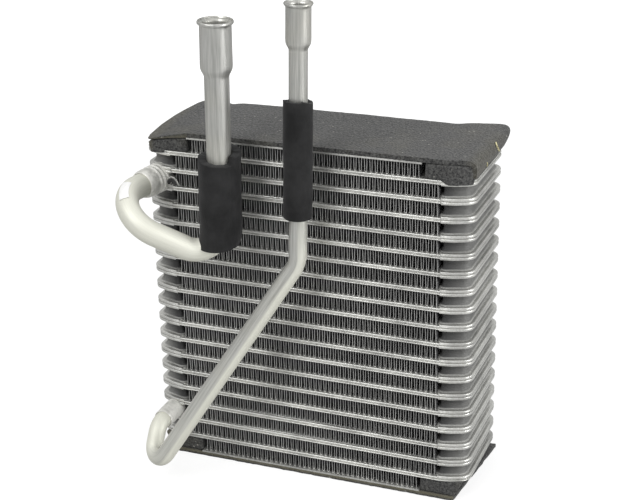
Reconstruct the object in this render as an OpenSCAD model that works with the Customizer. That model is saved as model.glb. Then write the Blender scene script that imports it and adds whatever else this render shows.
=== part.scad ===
// Laminated evaporator core: stamped cup plates brazed in pairs into flat tubes,
// corrugated fins between them, foam packing at both ends, and two formed pipes
// with flared coupling sockets. The part stands on its bottom foam pad.
// x runs across the fins, y from front to rear, z up.

/* [Core] */
// Width of the finned area between the two tanks
fin_area_w = 187; // [150:1:230]
// Depth of the core from front to rear
core_d = 76; // [64:1:100]
// Number of flat tubes
tube_count = 18; // [10:1:20]
// Height of one row of fins
fin_h = 9.5; // [8:0.5:12]
// Thickness of a flat tube over its two plates
tube_t = 3; // [2.6:0.1:4]

/* [Stamped plates] */
// Thickness of the plate sheet
plate_wall = 0.6; // [0.4:0.1:0.8]
// Reach of a tank beyond the finned area
tank_reach = 21.25; // [19:0.25:26]
// Radius where the front edge turns into the chamfer of the tank
chamfer_r = 20; // [12:1:22]
// Angle of the chamfer of the tank
chamfer_angle = 30; // [24:1:36]
// Radius of the tank's outer corner
corner_r = 11.3; // [9:0.1:13]
// Corner radius between the tank's side and its rear
rear_corner_r = 9; // [7:0.5:14]
// Height of the groove between the two lips of a tube
lip_groove_h = 0.9; // [0.5:0.1:1.1]
// Depth of the groove between the two lips of a tube
lip_groove_d = 1.5; // [0.8:0.1:2]
// Thickness of the lip that flares at the tanks
lip_wall = 1.2; // [0.8:0.1:1.6]
// Height that the lip flares beyond the tube's flat at the tanks
lip_flare = 1; // [0.5:0.1:1.5]
// Distance from the lip's edge back to the drawn cup
cup_inset = 3.5; // [2.5:0.1:4.5]
// Gap between the fins' ends and the drawn cup
cup_gap = 1; // [0.6:0.1:2]
// Number of stamped ribs inside a tube
rib_count = 3; // [1:1:5]
// Width of a stamped rib
rib_w = 2; // [1:0.5:4]

/* [Fins] */
// Length of one full fold of a fin
fold_len = 3.6; // [3.2:0.1:5]
// Lean of a fin's leg, as a length along the row
leg_lean = 0.2; // [0.1:0.05:0.4]
// Thickness of the fin strip
fin_wall = 0.2; // [0.15:0.05:0.3]
// Distance of the fins behind the plates' lips
fin_set_back = 2; // [1:0.5:4]
// Gap between the fins' ends and a tank or a foam block
fin_end_gap = 0.3; // [0.2:0.1:0.8]

/* [Foam and end plates] */
// Thickness of the top and bottom end plates
end_plate_t = 1.2; // [0.8:0.1:2]
// Length by which an end plate stops short of the finned area, each side
end_plate_inset = 12.25; // [8:0.25:16]
// Thickness of the top foam pad
top_pad_t = 3; // [2:0.5:5]
// Thickness of the bottom foam pad
bottom_pad_t = 3; // [2:0.5:5]
// Reach of the top pad beyond the finned area on the left
pad_reach_left = 18; // [14:0.5:20]
// Reach of the top pad beyond the finned area on the right
pad_reach_right = 22; // [18:0.5:25]
// Fall of the top pad's left end below its flat
pad_fall_left = 6; // [1:0.5:7]
// Radius of the top pad's rolled right edge
pad_roll_r = 6; // [4:0.5:8]
// Width of the rear ear at the right end of the top pad
pad_ear = 5; // [0:0.5:8]
// Gap between a foam block and the pieces beside it
foam_gap = 0.3; // [0.2:0.1:0.8]
// Slant of the bottom blocks' outer ends
block_slant = 6; // [0:0.5:8]
// Reach of the bottom pad's rear right corner beyond its front right corner
bottom_pad_skew = 8.5; // [0:0.5:10]
// Reach of the bottom pad's rear right corner behind the core
bottom_pad_over = 5; // [0:0.5:6]

/* [Suction pipe] */
// Outer diameter of the suction pipe
suction_od = 16; // [14:0.5:18]
// Wall thickness of the suction pipe
suction_wall = 1.2; // [0.8:0.1:1.8]
// Outer diameter of the suction coupling's bell
suction_bell_od = 20.4; // [20:0.2:22]
// Outer diameter of the suction coupling's flared lip
suction_lip_od = 23; // [22.6:0.2:26]
// Length of the suction coupling's bell
suction_bell_len = 30.7; // [20:0.1:40]
// Height of the suction coupling's mouth above the core's top plate
suction_rise = 87.4; // [60:0.2:110]
// Distance of the suction pipe's upright leg in front of the core
suction_standoff = 25; // [20:0.5:35]
// Place of the suction pipe's lower corner from the middle of the core
suction_x = -47.4; // [-60:0.2:-40]
// Height of the suction pipe's lower corner below the core's top plate
suction_drop = 75.5; // [65:0.5:90]
// Lean of the upright leg of the suction pipe to the right
suction_lean = 1; // [0:0.1:2]
// Bend radius of the suction pipe's elbow
suction_elbow_r = 23; // [18:0.5:25]
// Bend radius below the suction pipe's upright leg
suction_foot_r = 16; // [15:0.5:20]
// Turn of the suction port towards the tank's outer side
suction_port_angle = 11.5; // [6:0.5:14]
// Distance of the suction port beyond the fins' end
suction_port_out = 11.5; // [11:0.25:12]
// Distance from the tank to the suction elbow's corner
suction_reach = 68; // [62:0.5:74]
// Distance of the suction port below the middle of its row
suction_port_drop = 0.7; // [0:0.1:1]

/* [Liquid pipe] */
// Outer diameter of the liquid pipe
liquid_od = 12; // [10:0.5:13]
// Wall thickness of the liquid pipe
liquid_wall = 1; // [0.8:0.1:1.5]
// Outer diameter of the liquid coupling's bell
liquid_bell_od = 16; // [15.4:0.2:17]
// Outer diameter of the liquid coupling's flared lip
liquid_lip_od = 18.4; // [18:0.2:21]
// Length of the liquid coupling's bell
liquid_bell_len = 25; // [16:1:32]
// Height of the liquid coupling's mouth above the core's top plate
liquid_rise = 101; // [70:1:120]
// Distance of the liquid pipe's upright leg in front of the core
liquid_standoff = 20; // [16:0.5:30]
// Place of the liquid pipe's upper corner from the middle of the core
liquid_x = 4.5; // [0:0.5:20]
// Height of the liquid pipe's upper corner below the core's top plate
liquid_drop = 70; // [60:1:90]
// Lean of the upright leg of the liquid pipe to the right
liquid_lean = 1.5; // [0:0.1:2]
// Distance of the liquid port beyond the fins' end
liquid_port_out = 9; // [8.5:0.25:9.5]
// Distance from the tank to the liquid pipe's first corner
liquid_reach = 28; // [26:0.5:30]
// Distance of the liquid pipe's hairpin corner in front of the first corner
hairpin_out = 22.6; // [21:0.2:27]
// Height of the liquid pipe's hairpin corner below its port
hairpin_down = 32.4; // [30:0.2:36]
// Bend radius at the liquid pipe's first corner
liquid_port_r = 11; // [9:0.5:12]
// Bend radius of the liquid pipe's hairpin
hairpin_r = 10; // [9:0.5:12]
// Bend radius below the liquid pipe's upright leg
liquid_foot_r = 20; // [15:1:50]

/* [Port collars, sleeves and label] */
// Outer diameter of the suction port's collar
suction_collar_od = 20; // [19.2:0.2:21]
// Length of the suction port's collar in front of the tank
suction_collar_len = 19; // [14:0.5:20]
// Outer diameter of the liquid port's collar
liquid_collar_od = 13.8; // [13.6:0.2:16]
// Length of the liquid port's collar in front of the tank
liquid_collar_len = 21; // [12:0.5:21]
// Length of a collar inside the tank
collar_inner_len = 9; // [8:0.5:12]
// Length of pipe held in a collar behind the tank's front
pipe_seat_len = 3; // [1:0.5:5]
// Clearance of each brazed pipe and collar
braze_gap = 0.05; // [0.02:0.01:0.1]
// Outer diameter of the suction pipe's foam sleeve
suction_sleeve_od = 27.6; // [24:0.2:29]
// Length of the straight part of the suction pipe's foam sleeve
suction_sleeve_len = 51; // [40:1:70]
// Angle of the bend that the suction pipe's foam sleeve covers
sleeve_bend_angle = 26; // [10:1:30]
// Rise of the suction sleeve's lapped half over the rest of its top end
sleeve_flap_rise = 7; // [0:0.5:12]
// Outer diameter of the liquid pipe's foam sleeve
liquid_sleeve_od = 18.6; // [17:0.2:22]
// Length of the liquid pipe's foam sleeve
liquid_sleeve_len = 76; // [50:1:80]
// Distance of the liquid sleeve's lower end above the pipe's upper corner
liquid_sleeve_up = 32; // [20:1:40]
// Width of the seam slit in a foam sleeve
seam_w = 0.8; // [0.4:0.1:1.6]
// Clearance between a pipe and its foam sleeve
sleeve_gap = 0.1; // [0.05:0.05:0.2]
// Thickness of the bare label
label_t = 0.2; // [0.1:0.05:0.3]
// Angle of the elbow that the bare label covers
label_angle = 34; // [20:1:44]

/* [Hidden] */
$fn = 96;

// Stack heights, from the floor up
pitch = fin_h + tube_t;
row_base_z = bottom_pad_t + end_plate_t;
core_top_z = row_base_z + (tube_count + 1) * fin_h + tube_count * tube_t;
end_plate_top_z = core_top_z + end_plate_t;
half_w = fin_area_w / 2;
half_d = core_d / 2;
front_y = -half_d;

// Rows and tubes are counted from the top: row 1 lies under the top end plate,
// and tube 1 lies under row 1
function row_z(row) = core_top_z - row * fin_h - (row - 1) * tube_t;
function row_mid_z(row) = row_z(row) + fin_h / 2;
function tube_z(tube) = row_z(tube) - tube_t;

SUCTION_ROW = 3;
LIQUID_ROW = tube_count - 1;

function two_digits(n) = n < 10 ? str("0", n) : str(n);
function tube_name(i) = str("flat_tube_", two_digits(i));
function fin_name(i) = str("fin_row_", two_digits(i));

// Vector helpers
function unit(v) = v / norm(v);
function mirror_x(pts) = [for (i = [len(pts) - 1 : -1 : 0]) [-pts[i][0], pts[i][1]]];
function mirror_y(pts) = [for (i = [len(pts) - 1 : -1 : 0]) [pts[i][0], -pts[i][1]]];

// Plan outline of a stamped plate, set in by e from the lips' edge.
// The front edge turns through chamfer_r into the chamfer, and through corner_r
// into the tank's straight outer side.
CHAMFER_STEPS = 3;
CORNER_STEPS = 6;
chamfer_len = (tank_reach - chamfer_r * sin(chamfer_angle)
    - corner_r * (1 - sin(chamfer_angle))) / cos(chamfer_angle);
corner_center = [
    corner_r - half_w - tank_reach,
    front_y + chamfer_r * (1 - cos(chamfer_angle)) + chamfer_len * sin(chamfer_angle)
        + corner_r * cos(chamfer_angle)];
function arc_points(center, r, from, to, steps) =
    [for (i = [0 : steps]) let (a = from + (to - from) * i / steps)
        center + r * [cos(a), sin(a)]];
function front_left(e) = concat(
    arc_points([-half_w, front_y + chamfer_r], chamfer_r - e, 270, 270 - chamfer_angle,
        CHAMFER_STEPS),
    arc_points(corner_center, corner_r - e, 270 - chamfer_angle, 180, CORNER_STEPS));
// The rear edge turns straight into the tank's side. Its points run in the same way.
function rear_left(e) = arc_points(
    [rear_corner_r - half_w - tank_reach, half_d - rear_corner_r], rear_corner_r - e,
    180, 90, CORNER_STEPS);
function left_end(e) = concat(front_left(e), rear_left(e));
function plate_outline(e) = concat(left_end(e), mirror_x(left_end(e)));

module plate_area(e) {
    polygon(plate_outline(e));
}

// Part of a plan area that lies beyond x0 on both sides
module tank_zones(x0) {
    reach = half_w + tank_reach - x0 + 1;
    intersection() {
        children();
        union() {
            translate([x0, front_y - 1]) square([reach, core_d + 2]);
            translate([-x0 - reach, front_y - 1]) square([reach, core_d + 2]);
        }
    }
}

// Plan of the drawn cups, set in by e from their outside
module cup_area(e) {
    tank_zones(half_w + cup_gap + e) plate_area(cup_inset + e);
}

// Hollow of one plate, left open between the stamped ribs
module passage_area() {
    rib_len = fin_area_w - 2 * end_plate_inset;
    difference() {
        plate_area(cup_inset + plate_wall);
        for (i = [1 : rib_count])
            translate([-rib_len / 2, front_y + i * core_d / (rib_count + 1) - rib_w / 2])
                square([rib_len, rib_w]);
    }
}

// One stamped plate with its seam at z = 0 and its flat at tube_t / 2.
// A plate with cups reaches the middle of the next fin row.
module stamped_plate(cups) {
    flat_z = tube_t / 2;
    floor_z = flat_z - plate_wall;
    groove_z = lip_groove_h / 2;
    linear_extrude(groove_z) difference() {
        plate_area(lip_groove_d);
        passage_area();
    }
    translate([0, 0, groove_z]) linear_extrude(floor_z - groove_z) difference() {
        plate_area(0);
        passage_area();
    }
    translate([0, 0, floor_z]) linear_extrude(plate_wall) difference() {
        plate_area(0);
        if (cups) cup_area(plate_wall);
    }
    if (cups) {
        translate([0, 0, flat_z]) linear_extrude(lip_flare)
            tank_zones(half_w + cup_gap) difference() {
                plate_area(0);
                plate_area(lip_wall);
            }
        translate([0, 0, flat_z]) linear_extrude(fin_h / 2) difference() {
            cup_area(0);
            cup_area(plate_wall);
        }
    }
}

// A brazed pair of plates, cut round a port collar where one passes its lips
module flat_tube(i) {
    color("Silver") difference() {
        translate([0, 0, tube_z(i) + tube_t / 2]) {
            stamped_plate(i > 1);
            mirror([0, 0, 1]) stamped_plate(i < tube_count);
        }
        if (i == SUCTION_ROW || i == SUCTION_ROW - 1)
            suction_port_frame() port_cutter(suction_collar_od, suction_reach);
        if (i == LIQUID_ROW || i == LIQUID_ROW - 1)
            liquid_port_frame() port_cutter(liquid_collar_od, liquid_reach);
    }
}

module port_cutter(collar_od, reach) {
    translate([0, 0, -collar_inner_len])
        cylinder(h = collar_inner_len + reach, d = collar_od + 2 * braze_gap);
}

// Folded fin strip: a serpentine of legs and flat crests
function fold_line(count) = [for (i = [0 : count - 1], k = [0 : 3])
    let (crest = (fold_len - 2 * leg_lean) / 2,
         low = fin_wall / 2, high = fin_h - fin_wall / 2,
         x = i * fold_len)
    k == 0 ? [x, low] : k == 1 ? [x + crest, low]
    : k == 2 ? [x + crest + leg_lean, high] : [x + 2 * crest + leg_lean, high]];
function side_line(pts, d) = [for (i = [0 : len(pts) - 1])
    let (a = unit(i == 0 ? pts[1] - pts[0] : pts[i] - pts[i - 1]),
         b = unit(i == len(pts) - 1 ? pts[i] - pts[i - 1] : pts[i + 1] - pts[i]),
         na = [-a[1], a[0]], nb = [-b[1], b[0]], m = unit(na + nb))
    pts[i] + m * d / (m * na)];
function reversed(pts) = [for (i = [len(pts) - 1 : -1 : 0]) pts[i]];

module fin_row(i) {
    inset = i == 1 || i == tube_count + 1 ? end_plate_inset : 0;
    room = fin_area_w - 2 * inset - 2 * fin_end_gap;
    folds = floor(room / fold_len);
    line = fold_line(folds);
    start_x = -(folds * fold_len - leg_lean) / 2;
    depth = core_d - 2 * fin_set_back;
    color("Gainsboro")
        translate([start_x, depth / 2, row_z(i)]) rotate([90, 0, 0])
            linear_extrude(depth)
                polygon(concat(side_line(line, fin_wall / 2),
                    reversed(side_line(line, -fin_wall / 2))));
}

module end_plate(z) {
    w = fin_area_w - 2 * end_plate_inset;
    color("Silver") translate([-w / 2, front_y, z]) cube([w, core_d, end_plate_t]);
}

module top_end_plate() {
    end_plate(core_top_z);
}

module bottom_end_plate() {
    end_plate(bottom_pad_t);
}

// Height of the top pad's underside along x: flat over the end plate, falling
// towards the left end, and rolled over on the right edge
FALL_STEPS = 6;
block_x = half_w - end_plate_inset + foam_gap;
pad_left_x = -half_w - pad_reach_left;
pad_right_x = half_w + pad_reach_right;
function fall_points(z, steps) = [for (i = [0 : steps])
    let (s = i / steps) [pad_left_x + (-block_x - pad_left_x) * s,
        z - pad_fall_left * (1 - s) * (1 - s)]];
function roll_points(z, r) = arc_points([pad_right_x - pad_roll_r, z - pad_roll_r], r,
    90, 0, FALL_STEPS);

// Plan of the top foam, with its cut left corner and the ear at the rear right
module top_foam_plan(front_in) {
    polygon([[pad_left_x, front_y + front_in + 8], [pad_left_x + 4, front_y + front_in],
        [pad_right_x - 6, front_y + front_in], [pad_right_x, front_y + 8],
        [pad_right_x + pad_ear, half_d], [pad_right_x + pad_ear - 3, half_d + pad_ear],
        [half_w + 4, half_d + pad_ear], [half_w - 6, half_d - 1],
        [-half_w + 14, half_d - 1], [-half_w + 8, half_d],
        [-half_w - 6, half_d - 2], [pad_left_x, half_d - 16]]);
}

module top_foam_pad() {
    z = end_plate_top_z;
    plan_h = pad_fall_left + pad_roll_r + top_pad_t + 2;
    color("DimGray") intersection() {
        translate([0, half_d + pad_ear + 1, 0]) rotate([90, 0, 0])
            linear_extrude(core_d + pad_ear + 2)
                polygon(concat(
                    fall_points(z + top_pad_t, FALL_STEPS),
                    [for (p = roll_points(z + top_pad_t, pad_roll_r)) p + [pad_ear, 0]],
                    [[pad_right_x + pad_ear - top_pad_t, z + top_pad_t - pad_roll_r]],
                    [[pad_right_x + pad_ear - top_pad_t, z]],
                    reversed(fall_points(z, FALL_STEPS))));
        translate([0, 0, z - plan_h]) linear_extrude(2 * plan_h) top_foam_plan(0);
    }
}

// A foam block fills the tank's end between the outer tube and the pad
module top_block(left) {
    bottom_z = tube_z(1) + tube_t;
    z = end_plate_top_z - foam_gap;
    end_right_x = pad_right_x - foam_gap;
    color("DimGray") intersection() {
        translate([0, half_d + 1, 0]) rotate([90, 0, 0]) linear_extrude(core_d + 2)
            polygon(left
                ? concat(fall_points(z, FALL_STEPS), [[-block_x, bottom_z]],
                    [[pad_left_x, bottom_z]])
                : [[block_x, bottom_z], [block_x, z], [end_right_x, z],
                    [end_right_x, bottom_z]]);
        translate([0, 0, bottom_z - 1]) linear_extrude(fin_h + end_plate_t + 2)
            if (left) top_foam_plan(foam_gap);
            else intersection() {
                top_foam_plan(foam_gap);
                square([2 * (pad_right_x - top_pad_t), 3 * core_d], center = true);
            }
    }
}

module top_left_foam_block() {
    top_block(true);
}

module top_right_foam_block() {
    top_block(false);
}

// The bottom blocks taper towards the floor
module bottom_block(side) {
    top_z = tube_z(tube_count);
    wide = half_w + pad_reach_left;
    color("DimGray") translate([0, half_d - 1, 0]) rotate([90, 0, 0])
        linear_extrude(core_d - 2)
            polygon([[side * block_x, bottom_pad_t], [side * block_x, top_z],
                [side * wide, top_z], [side * (wide - block_slant), bottom_pad_t]]);
}

module bottom_left_foam_block() {
    bottom_block(-1);
}

module bottom_right_foam_block() {
    bottom_block(1);
}

module bottom_foam_pad() {
    wide = half_w + pad_reach_left - block_slant;
    color("DimGray") linear_extrude(bottom_pad_t)
        polygon([[-wide, front_y], [wide, front_y],
            [wide + bottom_pad_skew, half_d + bottom_pad_over], [-wide, half_d]]);
}

// Pipe routes, each a list of corners with a bend radius at every inner corner
PORT_DEPTH = 4;
suction_port_at = [-half_w - suction_port_out, front_y + PORT_DEPTH,
    row_mid_z(SUCTION_ROW) - suction_port_drop];
suction_port_dir = [-sin(suction_port_angle), -cos(suction_port_angle), 0];
suction_leg_dir = [sin(suction_lean), 0, cos(suction_lean)];
suction_foot = [suction_x, front_y - suction_standoff, end_plate_top_z - suction_drop];
suction_leg_len = (suction_rise + suction_drop) / cos(suction_lean);
suction_path = [
    suction_port_at - pipe_seat_len * suction_port_dir,
    suction_port_at + suction_reach * suction_port_dir,
    suction_foot,
    suction_foot + suction_leg_len * suction_leg_dir];
suction_radii = [suction_elbow_r, suction_foot_r];

liquid_port_at = [-half_w - liquid_port_out, front_y + PORT_DEPTH, row_mid_z(LIQUID_ROW)];
liquid_port_dir = [0, -1, 0];
liquid_leg_dir = [sin(liquid_lean), 0, cos(liquid_lean)];
liquid_corner = liquid_port_at + liquid_reach * liquid_port_dir;
liquid_foot = [liquid_x, front_y - liquid_standoff, end_plate_top_z - liquid_drop];
liquid_leg_len = (liquid_rise + liquid_drop) / cos(liquid_lean);
liquid_path = [
    liquid_port_at - pipe_seat_len * liquid_port_dir,
    liquid_corner,
    liquid_corner + [0.8, -hairpin_out, -hairpin_down],
    liquid_foot,
    liquid_foot + liquid_leg_len * liquid_leg_dir];
liquid_radii = [liquid_port_r, hairpin_r, liquid_foot_r];

// Bend at corner b between a and c: where it starts and ends, its centre, its turn
function half_angle(a, b, c) = acos(unit(a - b) * unit(c - b)) / 2;
function tangent_len(a, b, c, r) = r / tan(half_angle(a, b, c));
function bend_center(a, b, c, r) =
    b + unit(unit(a - b) + unit(c - b)) * r / sin(half_angle(a, b, c));

// Places children with their z axis along dir
module along(at, dir) {
    translate(at) rotate([0, acos(dir[2] / norm(dir)), atan2(dir[1], dir[0])]) children();
}

// Turns a section, drawn round the origin, through a bend. x points away from the
// bend's centre at its start, turn is the angle that is swept, and skip is the angle
// that is left out before it.
module bend(a, b, c, r, turn, skip = 0) {
    u = unit(a - b);
    center = bend_center(a, b, c, r);
    ex = unit(b + u * tangent_len(a, b, c, r) - center);
    ey = -u;
    ez = cross(ex, ey);
    multmatrix([[ex[0], ey[0], ez[0], center[0]], [ex[1], ey[1], ez[1], center[1]],
        [ex[2], ey[2], ez[2], center[2]], [0, 0, 0, 1]])
        rotate([0, 0, skip]) rotate_extrude(angle = turn) translate([r, 0]) children();
}

function full_turn(a, b, c) = 180 - 2 * half_angle(a, b, c);

// A bend draws the tube in by a hair, and each straight length laps into the bends
// beside it
DRAW_IN = 0.02;
LAP = 0.05;

// Straight length i of a path, between its neighbouring bends
module straight(path, radii, i, d) {
    last = len(path) - 2;
    dir = unit(path[i + 1] - path[i]);
    from = i == 0 ? path[0]
        : path[i] + dir * (tangent_len(path[i - 1], path[i], path[i + 1], radii[i - 1]) - LAP);
    to = i == last ? path[i + 1]
        : path[i + 1] - dir * (tangent_len(path[i], path[i + 1], path[i + 2], radii[i]) - LAP);
    along(from, dir) cylinder(h = norm(to - from), d = d);
}

// Solid rod along a path
module rod(path, radii, d) {
    for (i = [0 : len(path) - 2]) straight(path, radii, i, d);
    for (i = [1 : len(path) - 2])
        bend(path[i - 1], path[i], path[i + 1], radii[i - 1],
            full_turn(path[i - 1], path[i], path[i + 1])) circle(d = d - DRAW_IN);
}

// Flared socket at a pipe's end, drawn with its mouth at z = 0 and the pipe below:
// first the outside, then the hollow
LIP_H = 2.6;
TAPER_H = 4.5;
function socket_r(bell_od, wall) = bell_od / 2 - wall;
module socket_outside(pipe_od, wall, bell_od, lip_od, bell_len) {
    rotate_extrude() polygon([[0, 0], [0, -bell_len - TAPER_H],
        [pipe_od / 2 - DRAW_IN, -bell_len - TAPER_H], [bell_od / 2, -bell_len],
        [bell_od / 2, -LIP_H - wall / 2], [lip_od / 2, -wall], [lip_od / 2, 0]]);
}

module socket_hollow(pipe_od, wall, bell_od, lip_od, bell_len) {
    bore_r = socket_r(bell_od, wall);
    rotate_extrude() polygon([[0, 1], [0, -bell_len - TAPER_H],
        [pipe_od / 2 - wall - DRAW_IN, -bell_len - TAPER_H], [bore_r, -bell_len],
        [bore_r, -LIP_H], [lip_od / 2 - wall, -wall / 2], [lip_od / 2 - wall, 1]]);
}

// Shortens the last leg of a path so that it ends inside the socket's taper
function cut_back(path, dir, amount) = [for (i = [0 : len(path) - 1])
    i == len(path) - 1 ? path[i] - amount * dir : path[i]];
function longer_start(path, amount) = [for (i = [0 : len(path) - 1])
    i == 0 ? path[0] - amount * unit(path[1] - path[0]) : path[i]];

module formed_pipe(path, radii, leg_dir, od, wall, bell_od, lip_od, bell_len) {
    run = cut_back(path, leg_dir, bell_len + TAPER_H / 2);
    mouth = path[len(path) - 1];
    color("LightGray") difference() {
        union() {
            rod(run, radii, od);
            along(mouth, leg_dir) socket_outside(od, wall, bell_od, lip_od, bell_len);
        }
        union() {
            rod(longer_start(run, 1), radii, od - 2 * wall);
            along(mouth, leg_dir) socket_hollow(od, wall, bell_od, lip_od, bell_len);
        }
    }
}

module suction_pipe() {
    formed_pipe(suction_path, suction_radii, suction_leg_dir, suction_od, suction_wall,
        suction_bell_od, suction_lip_od, suction_bell_len);
}

module liquid_pipe() {
    formed_pipe(liquid_path, liquid_radii, liquid_leg_dir, liquid_od, liquid_wall,
        liquid_bell_od, liquid_lip_od, liquid_bell_len);
}

// Port frames have z along the pipe, away from the tank
module suction_port_frame() {
    along(suction_port_at, suction_port_dir) children();
}

module liquid_port_frame() {
    along(liquid_port_at, liquid_port_dir) children();
}

// Turned collar with a stop for the pipe's end and ridges near the tank
RIDGE_COUNT = 3;
RIDGE_PITCH = 3.2;
RIDGE_DEPTH = 0.7;
RIDGE_START = 2;
module port_collar(collar_od, od, wall, length, ridges) {
    r = collar_od / 2;
    seat_r = od / 2 + braze_gap;
    color("Silver") rotate_extrude() difference() {
        polygon([[od / 2 - wall, -collar_inner_len], [r, -collar_inner_len],
            [r, length - 1], [r - 0.6, length], [seat_r, length],
            [seat_r, -pipe_seat_len - braze_gap],
            [od / 2 - wall, -pipe_seat_len - braze_gap]]);
        if (ridges) for (i = [0 : RIDGE_COUNT - 1])
            translate([r, RIDGE_START + (i + 0.5) * RIDGE_PITCH])
                circle(r = RIDGE_DEPTH, $fn = 24);
    }
}

module suction_port_collar() {
    suction_port_frame() port_collar(suction_collar_od, suction_od, suction_wall,
        suction_collar_len, true);
}

module liquid_port_collar() {
    liquid_port_frame() port_collar(liquid_collar_od, liquid_od, liquid_wall,
        liquid_collar_len, false);
}

// Slit of a foam sleeve's seam, for a sleeve of length h round the z axis
module seam_slit(od, pipe_od, seam_at, h) {
    rotate([0, 0, seam_at]) translate([pipe_od / 4, -seam_w / 2, 0]) cube([od, seam_w, h]);
}

SEAM_ANGLE = -28;
LIQUID_SEAM_ANGLE = 195;
SLEEVE_SQUEEZE = 0.3;
SLEEVE_LAP = 0.3;
module suction_foam_sleeve() {
    a = suction_path[1];
    b = suction_path[2];
    c = suction_path[3];
    bore = suction_od + 2 * sleeve_gap;
    turn = min(full_turn(a, b, c), sleeve_bend_angle);
    uncut_len = suction_sleeve_len + sleeve_flap_rise;
    start = b + suction_leg_dir * (tangent_len(a, b, c, suction_foot_r) - SLEEVE_LAP);
    color([0.16, 0.16, 0.17]) difference() {
        union() {
            along(start, suction_leg_dir)
                cylinder(h = uncut_len, d = suction_sleeve_od);
            bend(c, b, a, suction_foot_r, turn)
                circle(d = suction_sleeve_od - SLEEVE_SQUEEZE);
        }
        union() {
            along(start, suction_leg_dir) cylinder(h = uncut_len + 1, d = bore);
            bend(c, b, a, suction_foot_r, turn + 1) circle(d = bore - sleeve_gap);
        }
        along(start + 2 * suction_leg_dir, suction_leg_dir)
            seam_slit(suction_sleeve_od, suction_od, SEAM_ANGLE, uncut_len);
        along(start, suction_leg_dir) rotate([0, 0, SEAM_ANGLE])
            translate([-suction_sleeve_od, -2 * suction_sleeve_od, suction_sleeve_len])
                cube(2 * suction_sleeve_od);
    }
}

module liquid_foam_sleeve() {
    start = liquid_foot + liquid_leg_dir * liquid_sleeve_up;
    color([0.16, 0.16, 0.17]) along(start, liquid_leg_dir) difference() {
        cylinder(h = liquid_sleeve_len, d = liquid_sleeve_od);
        translate([0, 0, -1])
            cylinder(h = liquid_sleeve_len + 2, d = liquid_od + 2 * sleeve_gap);
        translate([0, 0, -1])
            seam_slit(liquid_sleeve_od, liquid_od, LIQUID_SEAM_ANGLE,
                liquid_sleeve_len + 2);
    }
}

// Bare label wrapped round part of the suction elbow
LABEL_WRAP = 46;
LABEL_FROM = 50;
LABEL_START = 19;
module blank_label() {
    a = suction_path[0];
    b = suction_path[1];
    c = suction_path[2];
    inner_r = suction_od / 2;
    outer_r = inner_r + label_t;
    steps = 12;
    color("White") bend(a, b, c, suction_elbow_r, label_angle, LABEL_START)
        polygon(concat(
            arc_points([0, 0], outer_r, LABEL_FROM - LABEL_WRAP / 2,
                LABEL_FROM + LABEL_WRAP / 2, steps),
            arc_points([0, 0], inner_r, LABEL_FROM + LABEL_WRAP / 2,
                LABEL_FROM - LABEL_WRAP / 2, steps)));
}

for (i = [1 : tube_count])
    flat_tube(i);
for (i = [1 : tube_count + 1])
    fin_row(i);
top_end_plate();
bottom_end_plate();
top_foam_pad();
bottom_foam_pad();
top_left_foam_block();
top_right_foam_block();
bottom_left_foam_block();
bottom_right_foam_block();
suction_pipe();
liquid_pipe();
suction_port_collar();
liquid_port_collar();
suction_foam_sleeve();
liquid_foam_sleeve();
blank_label();
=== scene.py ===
import bpy
import bmesh
import math
import random
from mathutils import Matrix, Vector, noise


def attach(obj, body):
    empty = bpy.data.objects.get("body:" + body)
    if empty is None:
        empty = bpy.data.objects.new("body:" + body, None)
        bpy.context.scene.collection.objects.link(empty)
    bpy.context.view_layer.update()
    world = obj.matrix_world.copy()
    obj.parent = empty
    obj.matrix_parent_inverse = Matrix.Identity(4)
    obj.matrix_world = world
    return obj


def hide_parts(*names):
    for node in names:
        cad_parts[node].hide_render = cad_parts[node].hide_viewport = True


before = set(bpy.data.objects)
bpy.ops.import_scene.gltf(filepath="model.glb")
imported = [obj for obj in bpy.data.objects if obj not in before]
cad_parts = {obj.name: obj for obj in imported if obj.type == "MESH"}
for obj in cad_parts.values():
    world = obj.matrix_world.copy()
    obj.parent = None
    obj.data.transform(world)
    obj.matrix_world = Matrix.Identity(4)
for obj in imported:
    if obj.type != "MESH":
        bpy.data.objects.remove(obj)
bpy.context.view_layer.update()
bpy.ops.object.select_all(action="DESELECT")
mm = 0.001


# camera
camera = {
    "place": (0.34682, -0.89212, 0.54899), "lens": 87.15,
    "right": (0.93179558, 0.36249117, -0.01889858),
    "down": (0.12153283, -0.36061691, -0.92476225),
    "ahead": (-0.34203329, 0.85939258, -0.38007582)}


def placeCamera(c):
    bpy.ops.object.camera_add()
    cam = bpy.context.object
    right, up, back = Vector(c["right"]), -Vector(c["down"]), -Vector(c["ahead"])
    turn = Matrix((right, up, back)).transposed().to_4x4()
    cam.matrix_world = Matrix.Translation(c["place"]) @ turn
    cam.data.lens = c["lens"]
    cam.data.sensor_width = 36
    cam.data.clip_start = 0.01
    cam.data.clip_end = 50
    bpy.context.scene.camera = cam
    cam.select_set(False)


placeCamera(camera)
print("camera placed")


# material helpers
def plug(tree, node, values):
    # sets a node's inputs by name or place, or joins them to other nodes' outputs
    for key, value in values.items():
        socket = node.inputs[key]
        if isinstance(value, bpy.types.NodeSocket):
            tree.links.new(value, socket)
        else:
            socket.default_value = (*value, 1) if socket.type == "RGBA" else value
    return node


def addNode(tree, kind, values={}):
    return plug(tree, tree.nodes.new("ShaderNode" + kind), values)


def newMaterial(name):
    mat = bpy.data.materials.new(name)
    mat.use_nodes = True
    tree = mat.node_tree
    tree.nodes.clear()
    skin = addNode(tree, "BsdfPrincipled")
    addNode(tree, "OutputMaterial", {"Surface": skin.outputs[0]})
    return mat, tree, skin


def objectSpace(tree):
    return addNode(tree, "TexCoord").outputs["Object"]


def stored(tree, name, output="Fac"):
    mark = addNode(tree, "Attribute")
    mark.attribute_name = name
    return mark.outputs[output]


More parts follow.
